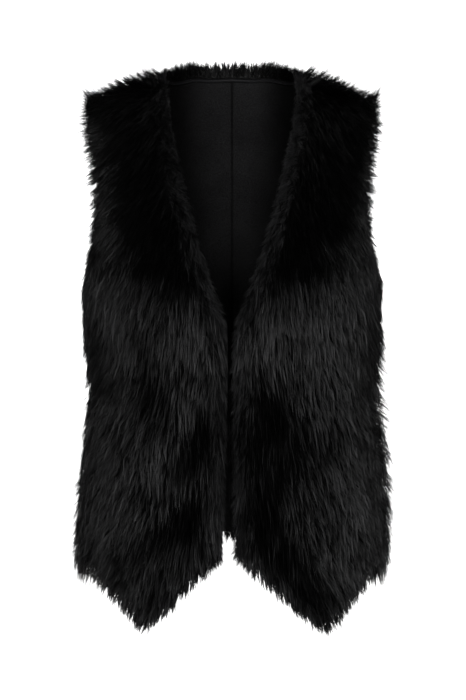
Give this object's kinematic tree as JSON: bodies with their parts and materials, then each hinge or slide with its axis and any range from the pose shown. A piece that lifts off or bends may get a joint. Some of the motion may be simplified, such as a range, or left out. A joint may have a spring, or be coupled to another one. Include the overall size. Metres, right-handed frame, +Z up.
{
  "type": "faux fur vest",
  "caption": "Sleeveless long-pile faux fur vest for a woman, open at the front, with a deep V neck, pointed front hems and a lined back, kept in its hollow worn form.",
  "frame": {"origin": "midway between the wearer's two shoulders, at the level on which the vest hangs", "axes": "+Z up, the front faces -Y, +X towards the wearer's left"},
  "size_m": [0.3936, 0.2566, 0.7021],
  "materials": {
    "black_fur": "long silky black pile, combed down and outwards, on a knitted ground",
    "black_lining": "matt, finely napped black cloth",
    "black_piping": "slightly shiny black cord"
  },
  "bodies": {
    "root": {"front_left": "black_fur", "front_right": "black_fur", "back": "black_fur", "back_lining_left": "black_lining", "back_lining_right": "black_lining", "neck_piping": "black_piping"}
  },
  "joints": []
}
